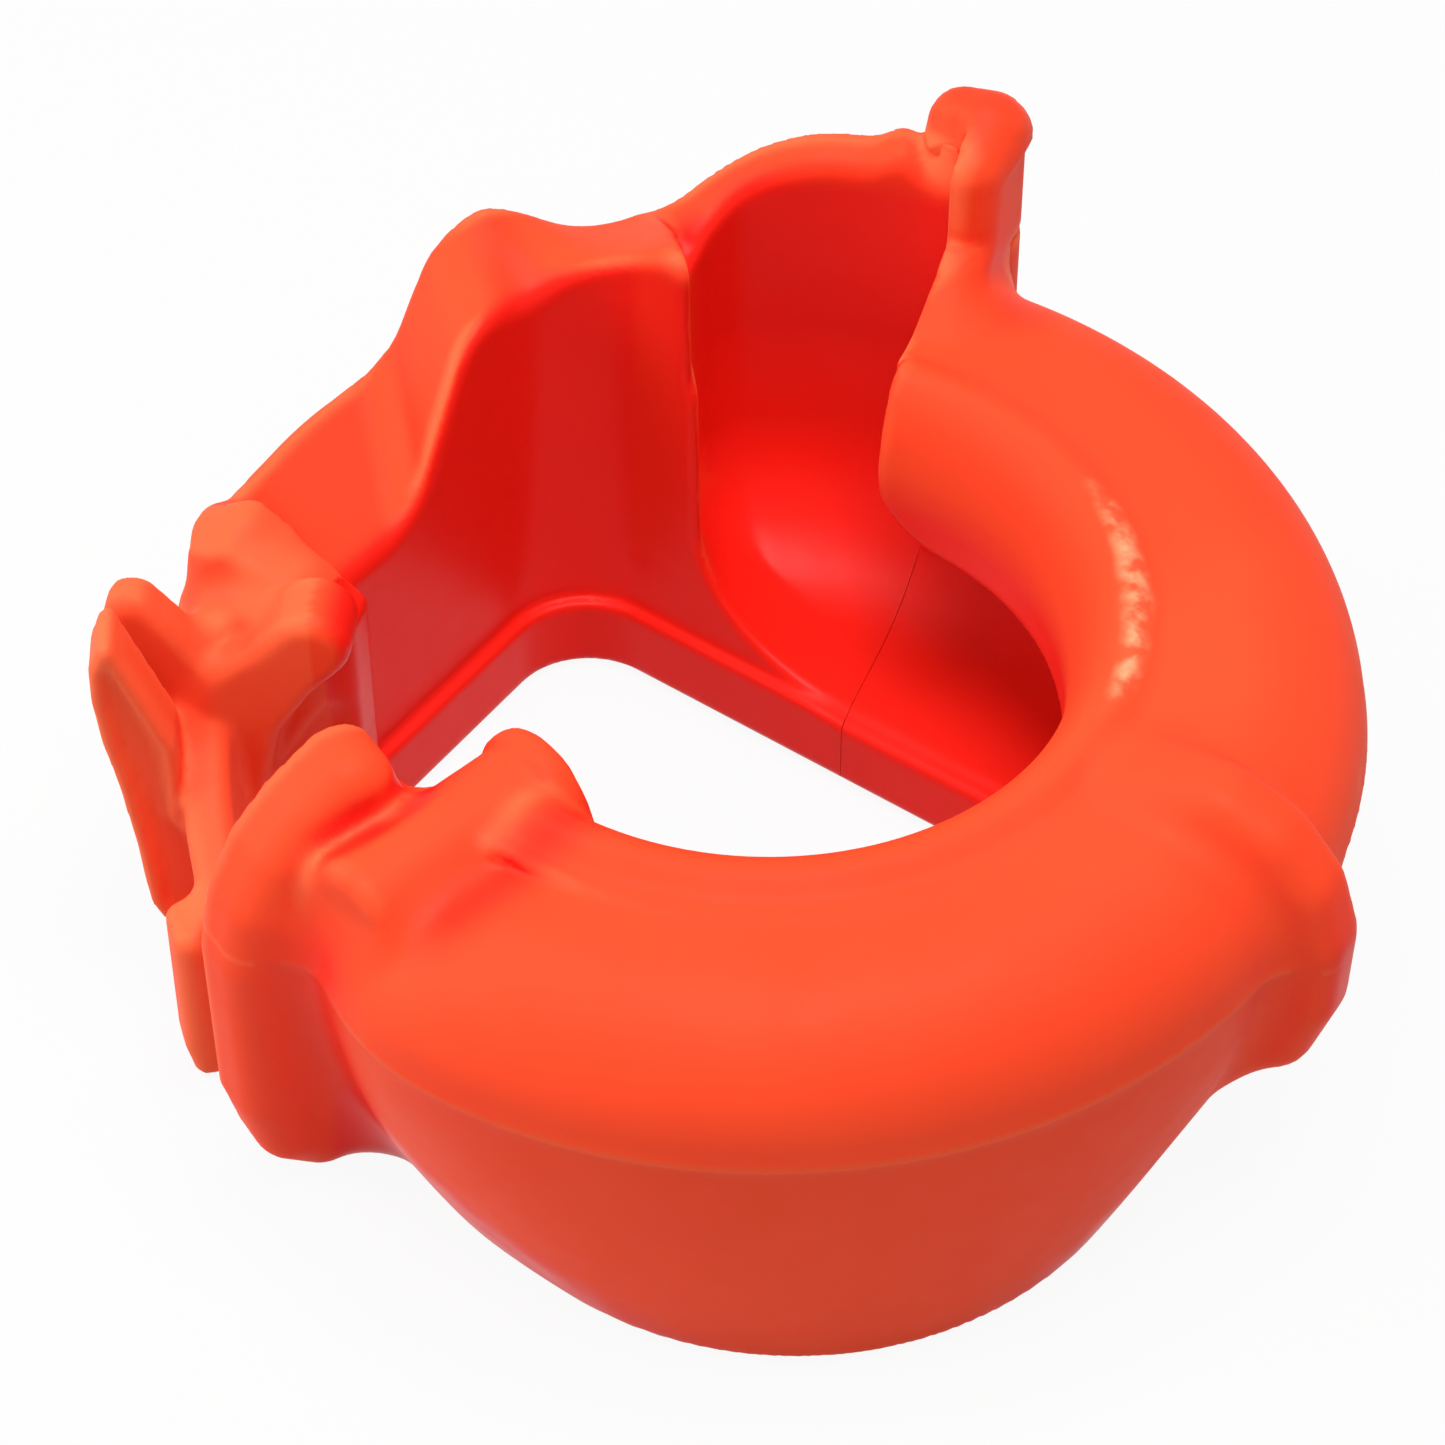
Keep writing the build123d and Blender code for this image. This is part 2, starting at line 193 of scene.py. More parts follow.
class Place:
    """Coordinates of a block of grid points, or of a list of points."""

    def __init__(self, x, y, z):
        self.x, self.y, self.z = x, y, z
        self.r = np.hypot(x, y)

    def out(self, angle):
        """Distance outward along the radial plane at an angle."""
        return self.x * cos(radians(angle)) + self.y * sin(radians(angle))

    def round(self, angle):
        """Distance past the radial plane at an angle, counter-clockwise."""
        return self.y * cos(radians(angle)) - self.x * sin(radians(angle))

    def turn(self):
        """Angle about the axis, from 0 to 360 degrees."""
        return np.degrees(np.arctan2(self.y, self.x)) % 360

    def height(self):
        """Height, spread over the whole block."""
        return self.z + 0 * self.r


class Form:
    """A solid form as a distance field on a grid, negative inside."""

    def __init__(self, low, high, step):
        self.step = step
        self.low = np.array(low, float)
        counts = np.ceil((np.array(high) - self.low) / step).astype(int) + 1
        self.axes = [(self.low[k] + step * np.arange(counts[k])).astype(np.float32) for k in range(3)]
        self.field = np.full(counts, EMPTY, np.float32)

    def window(self, low, high):
        """Slices of the grid that cover a box, and the place of their points."""
        cut = []
        for axis, bottom, top in zip(self.axes, low, high):
            first, last = np.searchsorted(axis, (bottom, top))
            cut.append(slice(max(first - 1, 0), last + 1))
        x, y, z = (axis[part] for axis, part in zip(self.axes, cut))
        return tuple(cut), Place(x[:, None, None], y[None, :, None], z[None, None, :])

    def add(self, shape, low, high, fillet=0.0):
        """Joins a shape to the form inside a box."""
        cut, place = self.window(low, high)
        self.field[cut] = either(self.field[cut], shape(place), fillet)

    def remove(self, shape, low, high, edge=0.0):
        """Takes a shape out of the form inside a box."""
        cut, place = self.window(low, high)
        self.field[cut] = both([self.field[cut], -shape(place)], edge)

    def trim(self):
        """Ends the form at its flat base."""
        above_base = (BASE - self.axes[2])[None, None, :]
        self.field = both([self.field, above_base], BASE_TRIM).astype(np.float32)

    def sample(self, values, points):
        """Values on the grid, read at points in millimetres."""
        at = np.clip((points - self.low) / self.step, 0, np.array(values.shape) - 1.001)
        cell = at.astype(int)
        share = at - cell
        total = np.zeros(len(points))
        for far in CELL:
            total += np.prod(np.where(far, share, 1 - share), axis=1) * values[tuple((cell + far).T)]
        return total

    def slope(self, points):
        """Unit gradient of the field at points: the surface's normals there."""
        normal = np.stack([self.sample(change, points) for change in np.gradient(self.field)], 1)
        return normal / np.maximum(np.linalg.norm(normal, axis=1, keepdims=True), 1e-6)


def outline_field(u, v, points):
    """Distance to a closed outline, negative inside."""
    nearest, inside = np.inf, False
    for (u0, v0), (u1, v1) in zip(points, points[1:] + points[:1]):
        du, dv = u1 - u0, v1 - v0
        share = np.clip(((u - u0) * du + (v - v0) * dv) / (du * du + dv * dv), 0, 1)
        nearest = np.minimum(nearest, (u - u0 - share * du) ** 2 + (v - v0 - share * dv) ** 2)
        crosses = ((v0 <= v) != (v1 <= v)) & ((u - u0) * dv * np.sign(dv) < (v - v0) * du * np.sign(dv))
        inside = inside ^ crosses
    return np.sqrt(nearest) * np.where(inside, -1, 1)


def plate(angle, points, thickness, growth, near_edge, far_edge=None):
    """Radial plate: an outline grown all round, with rounded edges on its near and far faces."""
    if far_edge is None:
        far_edge = near_edge

    def shape(place):
        face = outline_field(place.out(angle), place.height(), points) - growth
        side = place.round(angle)
        slab = both([face, -side - thickness / 2], far_edge)
        return both([slab, side - thickness / 2], near_edge)
    return shape


def square(place, half, round_corner, middle=0.0):
    """Rounded square in plan."""
    across = np.abs(place.x - middle) - (half - round_corner)
    along = np.abs(place.y - middle) - (half - round_corner)
    outside = np.hypot(np.maximum(across, 0), np.maximum(along, 0))
    return outside + np.minimum(np.maximum(across, along), 0) - round_corner


def skirt(place, inset):
    """Skirt that tapers from the round seam to the rounded-square base."""
    share = np.clip((SEAM - place.z) / (SEAM - BASE), 0, 1) ** SKIRT_POWER
    half = GIRTH - (GIRTH - BASE_HALF) * share - inset
    turn = GIRTH - (GIRTH - BASE_CORNER) * share - inset
    return square(place, half, turn)


def dome(place, inset):
    """Flat flange, quarter-round shoulder and skirt."""
    reach = np.maximum(place.r - (GIRTH - SHOULDER), 0)
    cap = np.hypot(reach, np.maximum(place.z - SEAM, 0)) - SHOULDER + inset
    return np.where(place.z > SEAM, cap, skirt(place, inset))


def tub(place, inset):
    """Upright wall and skirt, open at the top."""
    return np.where(place.z > SEAM, place.r - GIRTH + inset, skirt(place, inset))


def parting_ridge(place):
    """Thin raised line along the parting of the mould."""
    return RIDGE * swell(place.z, SEAM, RIDGE_WIDTH)


def way(place):
    """The square way, and above the floor the thick wall's inner face, which is set back from it."""
    lift = np.clip(place.z - KEY_TOP, 0, 45)
    set_back = Place(place.x + WAY_LEAN_X * lift, place.y - WAY_LEAN_Y * lift, place.z)
    upper = np.maximum(square(set_back, WAY_HALF + WAY_LEDGE, WAY_CORNER + 1, WAY_MIDDLE), KEY_TOP - place.z)
    return either(square(place, WAY_HALF, WAY_CORNER, WAY_MIDDLE), upper, 0.3)


def past_hinge(place, side):
    """Field of what lies past the hinge plane, with some to spare where it is cut flat later."""
    return side * place.round(HINGE_ANGLE) + SLIT / 2 - SPARE * (place.r < SPLIT_REACH)


# ---- hinge fin ----
def hinge_cap(place):
    """Top of the hinge fin, its full thickness above the rear half."""
    tip = HINGE_RADIUS + 1.6
    points = [(47.8, CAP_BOTTOM - 5), (tip, CAP_BOTTOM - 5), (tip, HINGE_TOP - 3.5),
              (HINGE_RADIUS - 0.5, HINGE_TOP - 1.0), (HINGE_RADIUS - 2.0, HINGE_TOP - 1.0)]
    cap = plate(HINGE_ANGLE, points, CAP_THICKNESS, growth=1.8, near_edge=3.6)(place)
    inner = np.maximum(-place.round(HINGE_ANGLE), place.out(HINGE_ANGLE) - GIRTH + WALL)
    return both([both([cap, -inner], 1.0), CAP_BOTTOM - place.z], 0.5)


def hinge_leaf(side):
    """Half of the hinge fin, in front of its plane (+1) or behind it (-1)."""
    inner, tip, foot = GIRTH - WALL + 3.6, HINGE_RADIUS + 0.3, HINGE_BOTTOM + 3
    shared = [(tip, foot), (tip, HINGE_TOP - 3.8), (HINGE_RADIUS - 2, HINGE_TOP - 2.0)]
    if side > 0:
        points = [(42, 11.5), (46, foot), *shared, (49.4, HINGE_TOP - 3.8), (49, 17)]
    else:
        points = [(inner, foot), *shared, (inner, 22)]
    slab = plate(HINGE_ANGLE, points, 2 * BARREL, growth=3.0, near_edge=3.2)

    def shape(place):
        return both([slab(place), side * place.round(HINGE_ANGLE) + SLIT / 2], 0.1)
    return shape


def knuckle(bottom, top, radius=BARREL):
    """Length of the hinge barrel, with a rounded end where it is the fin's top."""
    x0, y0 = HINGE_RADIUS * cos(radians(HINGE_ANGLE)), HINGE_RADIUS * sin(radians(HINGE_ANGLE))
    end = 2.4 if top > HINGE_TOP - 1 else 0.3

    def shape(place):
        pole = np.hypot(place.x - x0, place.y - y0) - radius
        return both([both([pole, place.z - top], end), bottom - place.z], 0.3)
    return shape


BARREL_REACH = (-22, 45, -24), (-5, 61, 31)


# ---- front half ----
def front_shell(place):
    """Flange, skirt and floor, with a valley in the wall beside the closing plate."""
    past = np.maximum(place.round(FRONT_END) - VALLEY_START, 0)
    valley = VALLEY * swell(past, 0, VALLEY_WIDTH) * (place.out(FRONT_END) > 0)
    outer = dome(place, 0) + valley - parting_ridge(place)
    hollow = both([outer + WALL, KEY_TOP - place.z], FLOOR_FILLET)
    shell = both([outer, BASE - place.z], BASE_ROUND)
    shell = np.maximum(shell, -hollow)
    shell = np.maximum(shell, -np.maximum(place.r - COLLAR, COLLAR_ROOM - place.z))
    low_way = np.maximum(way(place), place.z - KEY_TOP - FLOOR_FILLET)
    shell = both([shell, -low_way], WAY_ROUND)
    span = np.minimum(-place.round(FRONT_END), past_hinge(place, 1))
    return np.maximum(shell, span)


def collar(place):
    """Straight bore with a flare up to a rounded crest, which falls back to the flange."""
    across = (place.r - BORE - FLARE) / FLARE
    up = np.maximum(place.z - BORE_TOP, 0) / (CREST - BORE_TOP)
    level = np.hypot(across, up)
    slope = np.hypot(across / FLARE, up / (CREST - BORE_TOP)) / np.maximum(level, 0.05)
    flare = (level - 1) / np.maximum(slope, 0.05)
    back = ramp(place.r - BORE - FLARE, 0, CREST_FALL)
    crest = CREST - (CREST - FLANGE) * back * back * (3 - 2 * back)
    inside = np.where(place.r < BORE + FLARE, flare, place.z - crest)
    lean = (COLLAR - BORE - COLLAR_WALL) / (FLANGE - WALL - BORE_TOP)
    behind = np.clip(place.z - BORE_TOP, 0, FLANGE - WALL - BORE_TOP) * lean + BORE + COLLAR_WALL
    behind = behind + np.clip(place.z - FLANGE + WALL, 0, 1.5) * 2.4
    ring = both([inside, (place.r - behind) / np.hypot(1, lean)], 0.4)
    past = place.round(HINGE_ANGLE) + SLIT / 2
    end = np.minimum(-place.round(COLLAR_START), past)
    foot = both([BORE_BOTTOM - place.height(), past], 8.0)
    foot = np.where((place.round(HINGE_ANGLE) > -15) & (place.y > 0), foot, -99)
    return both([ring, end, np.maximum(BORE_BOTTOM - place.z, foot)], 1.1)


def bar(place):
    """Half-round bar across the flange, with a lip round its end at the bore."""
    out, floor = place.out(BAR_ANGLE), BAR_FLOOR - place.z
    middle = np.hypot(place.round(BAR_ANGLE), place.z - BAR_HEIGHT)
    rod = both([middle - BAR_RADIUS, out - BAR_REACH[1], BAR_REACH[0] - out, floor], 1.6)
    lip = both([middle - LIP_RADIUS, out - LIP_REACH[1], LIP_REACH[0] - out, floor], 1.3)
    return either(rod, lip, 0.3)


def front_form():
    form = Form(REACH_LOW, REACH_HIGH, STEP)
    form.add(front_shell, REACH_LOW, REACH_HIGH)
    form.add(collar, (-38, -38, -6), (38, 38, 18), fillet=0.3)
    fin = [(40.5, 9.2), (42, -10), (47.5, -12), (51, -9.5), (52.6, -4), (52.7, 2.6), (51.4, 6.6),
           (48.8, 9.4), (45.4, 10.6)]
    fin = plate(FIN_ANGLE, fin, thickness=6.6, growth=6.0, near_edge=2.4)
    form.add(fin, (28, -18, -26), (61, 26, 24), fillet=3.4)
    closing = [(RIM + 3, BASE + 4), (48.0, BASE + 4), (50.8, BASE + 6.5), (52.1, BASE + 12), (52.3, -1),
               (51.2, 5), (48.9, 9.5), (45.8, 12.6), (42.4, 14.8), (42.0, 13)]
    closing = plate(FRONT_END, closing, thickness=7.5, growth=4.0, near_edge=3.4, far_edge=0.9)
    form.add(closing, (-38, -61, -33), (2, -26, 24), fillet=4.5)
    form.add(bar, (-20, -56, -4), (8, -18, 22), fillet=2.4)
    form.add(hinge_leaf(1), (-30, 28, -24), (4, 61, 31), fillet=3.0)
    form.add(hinge_cap, (-25, 30, 20), (0, 61, 31), fillet=1.2)
    form.add(knuckle(HINGE_BOTTOM, HINGE_TOP - 2), *BARREL_REACH)
    form.remove(knuckle(SEAM, KNUCKLE + GAP / 2, BARREL + GAP), *BARREL_REACH)
    form.trim()
    return form


# ---- rear half ----
def rear_rim(place):
    """Height of the rim of the open back bay, which falls away towards the left bay."""
    turn = place.turn()
    fall = 12 * np.clip((turn - 117) / 21, 0, 1.2) ** 2
    boss = BOSS_HEIGHT * swell(turn, BOSS_ANGLE, 2.2)
    return BACK_RIM - fall + boss - 0.35 * (GIRTH - place.r)


def left_top(place):
    """Top of the left bay's thick wall: a lobe, with a dip outside it, and a saddle."""
    direction = radians(SADDLE_DIRECTION)
    across = -place.x * sin(direction) + place.y * cos(direction)
    crown = place.z - LEFT_RIM + (0.08 + 0.32 * swell(place.turn(), CROWN_ANGLE, 7)) * (GIRTH - place.r)
    lobe = both([crown, ((place.z - 17.5) * 10 - (across + 15.6) * 20) / 22.4], 5.0)
    far_slope = ((place.z - SADDLE_FLOOR - 2) * 9 + (across + 32.5) * 10) / 13.5
    far = both([place.height() - SADDLE_FAR_RIM, far_slope], 4.0)
    top = either(either(lobe, place.z - SADDLE_FLOOR, 5.0), far, 5.0)
    slope = radians(DIP_SLOPE)
    rise = place.z - (LEFT_RIM - DIP_DEPTH + DIP_RADIUS) + np.tan(slope) * (place.out(DIP_ANGLE) - GIRTH)
    trough = np.hypot(place.round(DIP_ANGLE), rise * cos(slope)) - DIP_RADIUS
    top = both([top, -trough], 4.0)
    inner_corner = np.hypot(place.x - CORNER_PLACE[0], place.y - CORNER_PLACE[1])
    return top - CORNER_LIFT * swell(inner_corner, 0, 7.5)


def rear_shell(place):
    """Upright wall round the open back bay, and the thick wall of the left bay."""
    wall = tub(place, 0) - parting_ridge(place)
    outer = both([wall, BASE - place.z], BASE_ROUND)
    bay = both([both([tub(place, WALL), place.round(CORE_ANGLE)], 8.0), KEY_TOP - place.z], FLOOR_FILLET)
    mass = np.maximum(outer, -bay)
    mass = both([mass, -way(place)], WAY_ROUND)
    thick = both([left_top(place), -place.round(CORE_ANGLE)], 3.0)
    mass = both([mass, either(thick, place.z - rear_rim(place), 3.0)], 1.6)
    span = np.maximum(past_hinge(place, -1), place.round(REAR_END))
    return np.maximum(mass, span)


def low_skirt(place):
    """Skirt that runs on past the closing plate, to the foot."""
    top = place.z + 3.5 + 0.45 * np.clip(place.turn() - 214, 0, 20)
    band = both([tub(place, 0), -tub(place, WALL), BASE - place.z, top], 1.6)
    return np.maximum(band, np.maximum(-place.round(REAR_END), place.round(FOOT_ANGLE)))


def arch(place):
    """Arched band that stands against the closing plate."""
    out = place.out(ARCH_ANGLE)
    line = [(41.2, 5.6), (46.4, -0.4), (49.6, -8.5), (49.6, -21.0)]
    band = None
    for (u0, v0), (u1, v1) in zip(line, line[1:]):
        du, dv = u1 - u0, v1 - v0
        share = np.clip(((out - u0) * du + (place.z - v0) * dv) / (du ** 2 + dv ** 2), 0, 1)
        rod = np.hypot(out - u0 - share * du, place.z - v0 - share * dv) - ARCH_RADIUS
        band = rod if band is None else either(band, rod, 1.5)
    return both([band, np.abs(place.round(ARCH_ANGLE)) - ARCH_HALF], 1.6)


def leaf(place):
    """Leaf-shaped lug with a raised rim round its face."""
    points = [(55.6, -24), (56.6, -22), (57.2, -14), (58.1, -6), (59.1, 0), (59.6, 5), (59.5, 9), (58.6, 11.6),
              (58.0, 9.8), (56.2, 4.8), (54.2, -0.8), (54.0, -4.6), (54.2, -10), (51.5, -14), (49.5, -22)]
    face = outline_field(place.out(LUG_ANGLE), place.height(), points) - 0.8
    side = place.round(LUG_ANGLE)
    hollow = ramp(-face, 0.9, 1.0)
    return both([face, side - LUG_HALF + hollow * hollow * (3 - 2 * hollow), -side - LUG_HALF], 0.8)


def above_leaf(place):
    """What lies above the rear half's share of the hinge fin."""
    return BACK_RIM + 0.9 - place.height()


def rear_form():
    form = Form(REACH_LOW, REACH_HIGH, STEP)
    form.add(rear_shell, REACH_LOW, REACH_HIGH)
    form.add(low_skirt, (-60, -60, BASE - 2), (-20, -5, 5), fillet=0.5)
    closing = [(RIM + 1, BASE + 1), (50, BASE + 1), (52.6, BASE + 8), (53, 1), (52.5, 6.4), (50.5, 8.2),
               (44.5, 5.6), (RIM + 1, 1.4)]
    closing = plate(REAR_PLATE, closing, thickness=5.5, growth=1.0, near_edge=1.0)
    form.add(closing, (-60, -35, -33), (-28, -3, 16), fillet=2.0)
    left = (-62, -52, -33), (-28, -10, 20)
    tab = [(47.5, 6.2), (52.8, 3.2), (53.5, 4.6), (52.8, 6.4), (49.5, 8.2)]
    form.add(plate(REAR_PLATE - 3, tab, thickness=4.4, growth=1.8, near_edge=1.8), *left, fillet=2.5)
    web = [(43, -6), (47, -14), (50.2, -16), (53.2, -8), (53.4, -0.5), (51, 2.6), (47.5, 4.4), (43.5, 4.6)]
    form.add(plate(REAR_PLATE + 4, web, thickness=7.5, growth=1.6, near_edge=1.6), *left, fillet=3.5)
    form.add(arch, *left, fillet=1.0)
    ear = [(52.0, -9.2), (55.6, -4.6), (58.4, 6.0), (57.6, 9.0), (56.8, 9.0), (54.8, 6.5), (51.6, 1.5)]
    form.add(plate(EAR_ANGLE, ear, thickness=4.5, growth=1.9, near_edge=1.9), *left, fillet=3.5)
    form.add(leaf, *left, fillet=0.8)
    foot = [(47.5, BASE + 1.2), (54.4, BASE + 1.2), (55.0, BASE + 4), (55.0, -12.8), (54.4, -12.8),
            (51.8, -18.6), (48, -23)]
    foot = plate(FOOT_ANGLE, foot, thickness=6.0, growth=1.2, near_edge=1.6)
    form.add(foot, (-50, -61, -33), (-18, -28, 0), fillet=2.5)
    form.add(hinge_leaf(-1), (-30, 30, -24), (-5, 61, 26), fillet=2.0)
    form.remove(above_leaf, (-16, 50, 15), (-5, 61, 31), edge=0.6)
    form.remove(knuckle(HINGE_BOTTOM - 3, HINGE_TOP, BARREL + GAP), *BARREL_REACH)
    form.add(knuckle(SEAM + GAP, KNUCKLE - GAP / 2), *BARREL_REACH)
    form.trim()
    return form


# ---- pieces, and the CAD nodes that each one dresses ----
FRONT_NODES = {"front_key": ["front_lower_key"], "collar": ["tube_collar"],
               "upper_front": ["front_upper_shell", "latch_bar"], "lower_front": ["front_lower_shell"]}
REAR_NODES = {"rear_key": ["rear_lower_key"], "leaf_lug": ["closing_lug"], "tongue": ["closing_tongue"],
              "foot": ["closing_foot"], "block": ["left_core"], "upper_rear": ["rear_upper_shell"],
              "lower_rear": ["rear_lower_shell"]}

# ---- meshing ----
CELL = np.array([(i, j, k) for i in (0, 1) for j in (0, 1) for k in (0, 1)])
CELL_EDGES = [(a, b) for a in range(8) for b in range(a + 1, 8) if np.abs(CELL[a] - CELL[b]).sum() == 1]
SETTLE_ROUNDS = 12
JUST_INSIDE = -0.02


def settle(field):
    """Clears the corner cases that would pinch the mesh, by filling one grid point of each."""
    lower, upper = slice(0, -1), slice(1, None)
    for _ in range(SETTLE_ROUNDS):
        solid = field < 0
        found = False
        for axis in range(3):
            first, second = [k for k in range(3) if k != axis]
            for start, end in ((lower, upper), (upper, lower)):
                base, far, side, other = ([slice(None)] * 3 for _ in range(4))
                base[first], base[second] = lower, start
                far[first], far[second] = upper, end
                side[first], side[second] = upper, start
                other[first], other[second] = lower, end
                pinch = solid[tuple(base)] & solid[tuple(far)] & ~solid[tuple(side)] & ~solid[tuple(other)]
                if pinch.any():
                    found = True
                    field[tuple(side)][pinch] = JUST_INSIDE
        if not found:
            return


def surface(form):
    """Quads of the field's zero surface: a point in each crossed cell, a face on each crossed edge."""
    field = form.field
    settle(field)
    solid = field < 0
    shape = np.array(solid.shape) - 1
    count = np.zeros(shape, np.int8)
    for cell_corner in CELL:
        count += solid[tuple(slice(o, o + n) for o, n in zip(cell_corner, shape))]
    cells = np.argwhere((count > 0) & (count < 8))
    index = np.full(shape, -1, np.int32)
    index[tuple(cells.T)] = np.arange(len(cells))
    values = np.stack([field[tuple((cells + place).T)] for place in CELL], 1).astype(float)
    total = np.zeros((len(cells), 3))
    crossed = np.zeros(len(cells))
    for a, b in CELL_EDGES:
        hit = (values[:, a] < 0) != (values[:, b] < 0)
        share = values[hit, a] / (values[hit, a] - values[hit, b])
        total[hit] += CELL[a] + share[:, None] * (CELL[b] - CELL[a])
        crossed[hit] += 1
    points = form.low + form.step * (cells + total / crossed[:, None])
    quads = []
    for axis in range(3):
        u, v = [(1, 2), (2, 0), (0, 1)][axis]
        start = [slice(1, -1)] * 3
        start[axis] = slice(0, -1)
        end = list(start)
        end[axis] = slice(1, None)
        here, there = solid[tuple(start)], solid[tuple(end)]
        for flip, change in ((False, here & ~there), (True, there & ~here)):
            at = np.argwhere(change)
            at += [0 if k == axis else 1 for k in range(3)]
            ring = []
            for du, dv in ((0, 0), (-1, 0), (-1, -1), (0, -1)):
                cell = at.copy()
                cell[:, u] += du
                cell[:, v] += dv
                ring.append(index[tuple(cell.T)])
            quad = np.stack(ring, 1)
            quads.append(quad[:, ::-1] if flip else quad)
    return points * MM, np.concatenate(quads)


def linked(name, mesh):
    """New object in the scene."""
    piece = bpy.data.objects.new(name, mesh)
    bpy.context.scene.collection.objects.link(piece)
    return piece


def mesh_object(name, points, faces):
    """Mesh object from arrays of points and faces of one size."""
    mesh = bpy.data.meshes.new(name)
    mesh.vertices.add(len(points))
    mesh.vertices.foreach_set("co", points.astype(np.float32).ravel())
    mesh.loops.add(faces.size)
    mesh.loops.foreach_set("vertex_index", faces.astype(np.int32).ravel())
    mesh.polygons.add(len(faces))
    mesh.polygons.foreach_set("loop_start", np.arange(0, faces.size, faces.shape[1], dtype=np.int32))
    mesh.update(calc_edges=True)
    mesh.validate()
    return linked(name, mesh)


def combine(name, piece, tool, operation):
    """New object: piece with a tool's Boolean applied."""
    cutter = piece.modifiers.new("cut", "BOOLEAN")
    cutter.solver = "MANIFOLD"
    cutter.operation = operation
    cutter.object = tool
    bpy.context.view_layer.update()
    shown = piece.evaluated_get(bpy.context.evaluated_depsgraph_get())
    mesh = bpy.data.meshes.new_from_object(shown)
    piece.modifiers.remove(cutter)
    mesh.name = name
    return linked(name, mesh)


# ---- cutting tools ----
FAR_BELOW, FAR_ABOVE = -60, 60


def prism(outline, bottom=FAR_BELOW, top=FAR_ABOVE):
    """Closed upright prism to cut with: an outline in plan, in millimetres, counter-clockwise."""
    count = len(outline)
    mesh = bpy.data.meshes.new("tool")
    points = [(x * MM, y * MM, z * MM) for z in (bottom, top) for x, y in outline]
    sides = [(k, (k + 1) % count, count + (k + 1) % count, count + k) for k in range(count)]
    mesh.from_pydata(points, [], [tuple(reversed(range(count))), tuple(range(count, 2 * count)), *sides])
    tool = linked("tool", mesh)
    tool.hide_render = True
    return tool


def polar(radius, angle):
    return (radius * cos(radians(angle)), radius * sin(radians(angle)))


def from_plane(angle, side, corners):
    """Points in plan from distances outward along a radial plane, and off it on one side."""
    out, across = polar(1, angle), polar(side, angle + 90)
    return [(out[0] * reach + across[0] * depth, out[1] * reach + across[1] * depth) for reach, depth in corners]


def wedge(start, end, bottom=FAR_BELOW, top=FAR_ABOVE, radius=130.0):
    """Cutting tool: a sector about the axis, less than a half turn."""
    steps = 24
    arc = [polar(radius, start + (end - start) * k / steps) for k in range(steps + 1)]
    return prism([(0, 0)] + arc, bottom, top)


def disc(radius, bottom, top):
    """Cutting tool: a round plug on the axis."""
    return prism([polar(radius, 2.5 * k) for k in range(144)], bottom, top)


def key_tool():
    """Cutting tool: the floor, out to half way up its fillet."""
    half, turn, top = 36.0, 25.0, -13
    points = []
    for quarter in range(4):
        cx = (half - turn) * (1 if quarter in (0, 3) else -1)
        cy = (half - turn) * (1 if quarter in (0, 1) else -1)
        for k in range(13):
            dx, dy = polar(turn, 90 * quarter + 7.5 * k)
            points.append((cx + dx, cy + dy))
    return prism(points, top=top)


def lug_tool():
    """Cutting tool: the outer part of the leaf-shaped lug."""
    inner, outer, near, far = 53.0, 70, -3.1, 4.4
    return prism(from_plane(LUG_ANGLE, 1, [(inner, near), (outer, near), (outer, far), (inner, far)]))


def upper_tool():
    """Cutting tool: all that lies above the parting of the mould."""
    return disc(90, SEAM, FAR_ABOVE)


def cut_off(rest, name, tool):
    """Splits rest in two along a tool: what is inside gets the name, and the other part is returned."""
    piece = combine(name, rest, tool, "INTERSECT")
    remains = combine("rest", rest, tool, "DIFFERENCE")
    bpy.data.objects.remove(rest)
    bpy.data.objects.remove(tool)
    return piece, remains


def hinge_cut(form, side):
    """Meshes a half, and cuts off the spare past the hinge plane: in front of it (-1) or behind it (+1)."""
    inner, outer, face, spare = 8, SPLIT_REACH + GAP, -SLIT / 2, 4 - SLIT / 2
    points = from_plane(HINGE_ANGLE, side, [(inner, face), (outer, face), (outer, spare), (inner, spare)])
    tool = prism(points[::side])
    whole = mesh_object("whole", *surface(form))
    rest = combine("rest", whole, tool, "DIFFERENCE")
    bpy.data.objects.remove(whole)
    bpy.data.objects.remove(tool)
    return rest


# ---- shading: normals from the form's field, and marks for the materials: painted shade, painted highlights and wear ----
def mesh_values(items, name, kind, width=1):
    """Values of a mesh's vertices, loops or polygons as an array."""
    values = np.empty(len(items) * width, kind)
    items.foreach_get(name, values)
    return values.reshape(-1, width) if width > 1 else values


def smooth(mesh, normals):
    """Gives the mesh the form's normals, except on cut faces, which stay flat."""
    own = mesh_values(mesh.polygons, "normal", np.float32, 3)
    sides = mesh_values(mesh.polygons, "loop_total", np.int32)
    own = own[np.repeat(np.arange(len(sides)), sides)]
    chosen = normals[mesh_values(mesh.loops, "vertex_index", np.int32)]
    is_cut = (chosen * own).sum(axis=1) < 0.55
    chosen[is_cut] = own[is_cut]
    mesh.polygons.foreach_set("use_smooth", np.ones(len(sides), bool))
    mesh.normals_split_custom_set(chosen.tolist())


